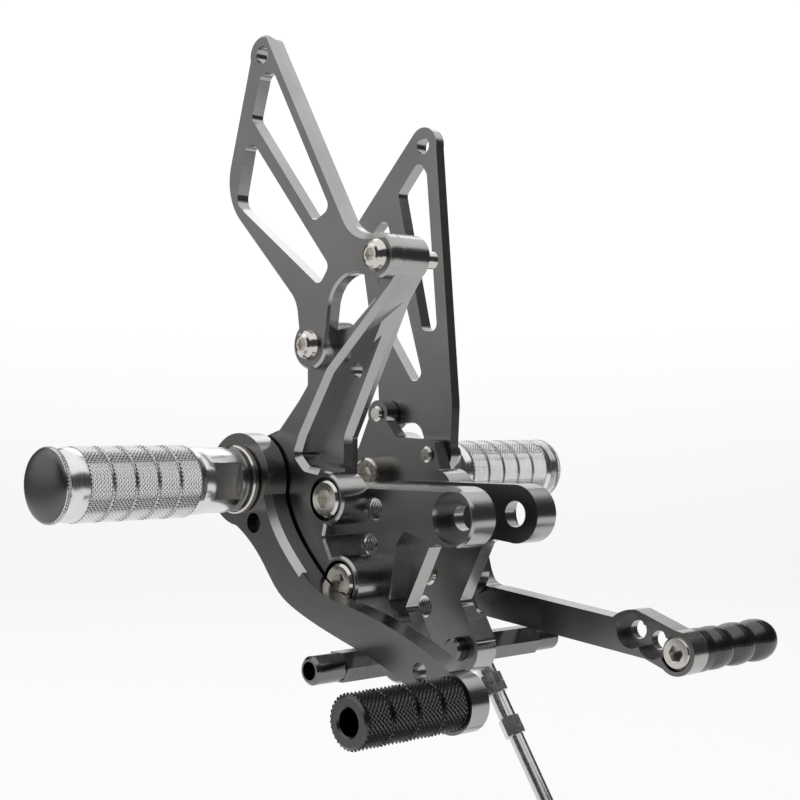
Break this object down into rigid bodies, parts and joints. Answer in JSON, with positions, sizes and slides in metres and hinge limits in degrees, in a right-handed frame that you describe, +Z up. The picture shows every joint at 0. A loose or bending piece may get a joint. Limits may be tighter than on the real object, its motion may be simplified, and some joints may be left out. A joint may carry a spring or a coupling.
{
  "type": "rear sets footrest",
  "caption": "Pair of motorcycle rear sets: drilled base plates, step brackets with heel plates, knurled footpegs, and brake and shift levers with toe pegs and a shift rod.",
  "frame": {"origin": "on the axis of the upper frame bolt, midway between the brake half and the shift half", "axes": "+X forward, +Y to the rider's left along the upper frame bolt, +Z up as in the picture"},
  "size_m": [0.1574, 0.2474, 0.3143],
  "materials": {
    "titanium_anodised_aluminium": "satin titanium anodised, machined edges brighter",
    "bright_knurled_aluminium": "bright machined with diamond knurl",
    "grey_anodised_cap": "matte grey anodised face",
    "stainless_steel": "polished stainless",
    "black_anodised_aluminium": "black anodised, knurled",
    "black_oxide_steel": "black oxide, semi gloss",
    "bearing_bronze": "plain bearing bronze",
    "zinc_plated_steel": "zinc plated"
  },
  "bodies": {
    "frame_side": {"brake_base_plate": "titanium_anodised_aluminium", "brake_adjuster_bolts": "stainless_steel", "brake_frame_stud": "black_oxide_steel", "brake_step_bracket": "titanium_anodised_aluminium", "brake_heel_plate": "titanium_anodised_aluminium", "brake_heel_bolts": "stainless_steel", "brake_footpeg": "bright_knurled_aluminium", "brake_peg_end_cap": "grey_anodised_cap", "brake_thrust_washer": "stainless_steel", "brake_peg_spacer": "black_oxide_steel", "brake_pivot_collar": "stainless_steel", "brake_peg_bolt": "stainless_steel", "shift_base_plate": "titanium_anodised_aluminium", "shift_adjuster_bolts": "stainless_steel", "shift_frame_stud": "black_oxide_steel", "shift_step_bracket": "titanium_anodised_aluminium", "shift_heel_plate": "titanium_anodised_aluminium", "shift_heel_bolts": "stainless_steel", "shift_footpeg": "bright_knurled_aluminium", "shift_peg_end_cap": "grey_anodised_cap", "shift_thrust_washer": "stainless_steel", "shift_peg_spacer": "black_oxide_steel", "shift_pivot_collar": "stainless_steel", "shift_peg_bolt": "stainless_steel"},
    "brake_lever": {"brake_lever": "titanium_anodised_aluminium", "brake_lever_bush": "bearing_bronze", "brake_toe_peg": "black_anodised_aluminium", "brake_toe_bolt": "stainless_steel"},
    "shift_lever": {"shift_lever": "titanium_anodised_aluminium", "shift_lever_bush": "bearing_bronze", "shift_toe_peg": "black_anodised_aluminium", "shift_toe_bolt": "stainless_steel", "upper_rod_ball": "stainless_steel", "rod_end_bolt": "stainless_steel"},
    "shift_rod": {"shift_rod": "zinc_plated_steel", "rod_lock_nuts": "zinc_plated_steel", "upper_rod_end": "zinc_plated_steel", "lower_rod_end": "zinc_plated_steel"},
    "lower_rod_ball": {"lower_rod_ball": "stainless_steel"}
  },
  "joints": [
    {"name": "brake_lever_pivot", "type": "hinge", "parent": "frame_side", "child": "brake_lever", "pos_m": [-0.0828, 0, 0.011], "axis": [0, -1, 0], "range_deg": [0, 25]},
    {"name": "shift_lever_pivot", "type": "hinge", "parent": "frame_side", "child": "shift_lever", "pos_m": [-0.0828, 0, 0.011], "axis": [0, -1, 0], "range_deg": [0, 12]},
    {"name": "shift_rod_pivot", "type": "hinge", "parent": "shift_lever", "child": "shift_rod", "pos_m": [-0.0628, 0.046, -0.0345], "axis": [0, -1, 0], "range_deg": [-12, 0]},
    {"name": "lower_ball_tilt", "type": "hinge", "parent": "shift_rod", "child": "lower_rod_ball", "pos_m": [0.00564, 0.046, -0.1391], "axis": [0.5476, 0, -0.8368], "range_deg": [-8, 8]}
  ],
  "couplings": [
    {"joint": "shift_rod_pivot", "follows": "shift_lever_pivot", "ratio": -1}
  ]
}
